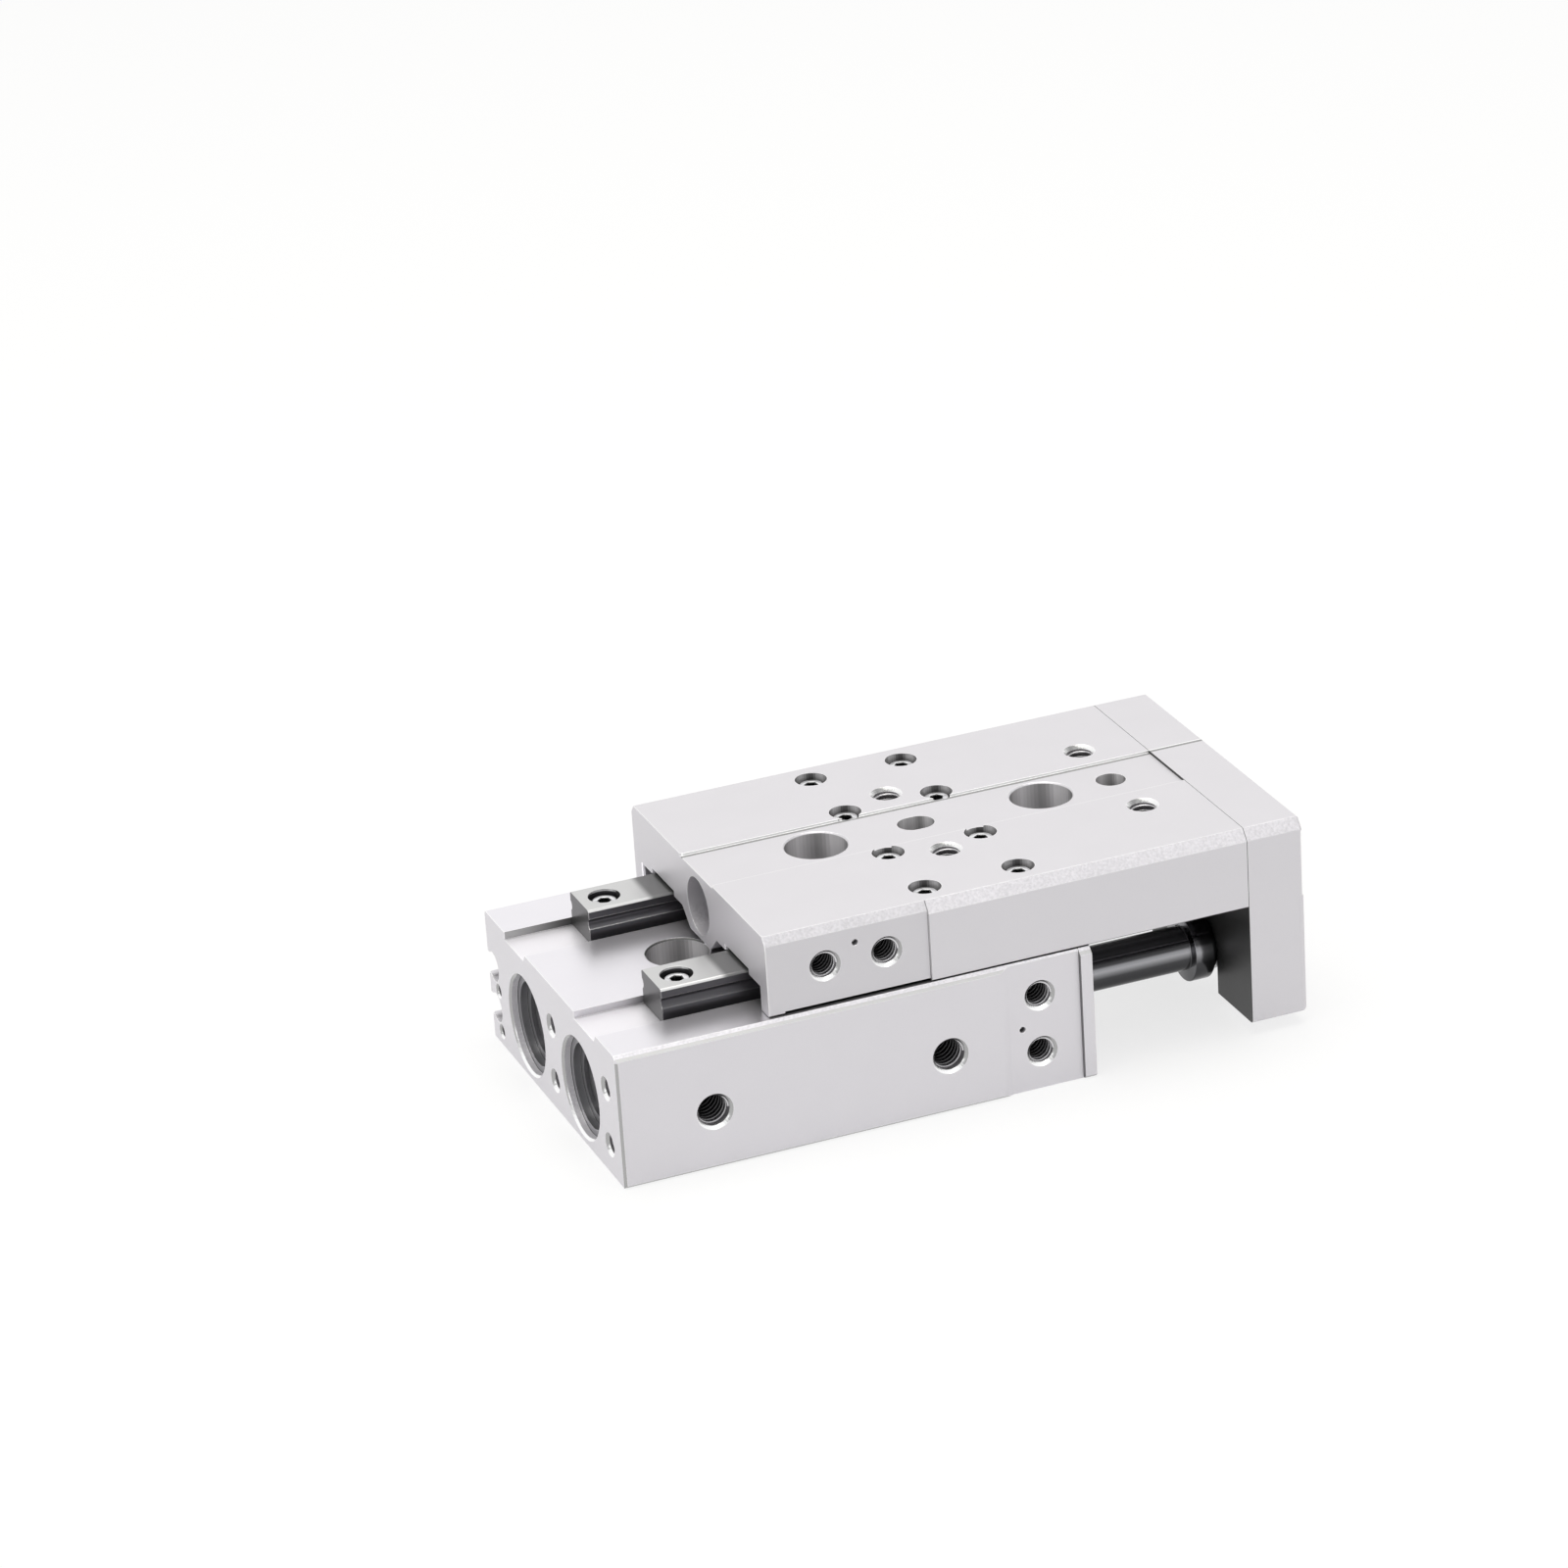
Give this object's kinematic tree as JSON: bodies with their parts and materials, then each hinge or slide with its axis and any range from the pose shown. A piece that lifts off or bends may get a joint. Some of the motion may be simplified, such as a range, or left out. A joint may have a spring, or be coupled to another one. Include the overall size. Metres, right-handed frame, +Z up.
{
  "type": "pneumatic slide table",
  "caption": "Compact twin-rod pneumatic slide table: a ball-guided carriage with an end plate travels on two rails over a flat cylinder block.",
  "frame": {"origin": "on the base face, midway between the two base bolt holes", "axes": "+X along the travel, towards the end plate; +Y towards the side with the sensor slots; +Z up, from the base to the table"},
  "size_m": [0.0962, 0.05, 0.0295],
  "materials": {
    "anodised_aluminium": "satin clear anodised",
    "bright_steel": "polished",
    "rail_steel": "ground, dark sides",
    "rod_steel": "hard chromed and polished",
    "screw_steel": "machined",
    "black_rubber": "matt",
    "bronze": "sintered",
    "dark_plastic": "matt",
    "magnet_black": "matt"
  },
  "bodies": {
    "body": {"slide_body": "anodised_aluminium", "front_plate": "anodised_aluminium", "front_plate_screws": "screw_steel", "front_plate_side_screws": "screw_steel", "rail_back": "rail_steel", "rail_front": "rail_steel", "rail_screws": "screw_steel", "head_plug_back": "screw_steel", "head_plug_front": "screw_steel", "plug_o_rings": "black_rubber", "snap_rings": "rail_steel", "rear_bumpers": "black_rubber", "rod_gland_back": "anodised_aluminium", "rod_gland_front": "anodised_aluminium", "gland_o_rings": "black_rubber", "rod_bushes": "bronze", "rod_seals": "black_rubber", "rod_wipers": "black_rubber"},
    "carriage": {"table": "anodised_aluminium", "end_plate": "anodised_aluminium", "end_plate_screws": "screw_steel", "guide_block_back": "bright_steel", "guide_block_front": "bright_steel", "block_end_caps_back": "dark_plastic", "block_end_caps_front": "dark_plastic", "block_end_seals_back": "black_rubber", "block_end_seals_front": "black_rubber", "guide_balls_back": "bright_steel", "guide_balls_front": "bright_steel", "guide_block_screws": "bright_steel", "piston_rod_back": "rod_steel", "piston_rod_front": "rod_steel", "piston_back": "anodised_aluminium", "piston_front": "anodised_aluminium", "piston_magnets": "magnet_black", "piston_wear_rings": "dark_plastic", "piston_seals": "black_rubber", "piston_bumpers": "black_rubber", "piston_nuts": "screw_steel", "rod_nuts": "screw_steel", "rod_washers": "screw_steel"}
  },
  "joints": [
    {"name": "table_slide", "type": "slide", "parent": "body", "child": "carriage", "axis": [1, 0, 0], "range_m": [-0.02, 0]}
  ]
}
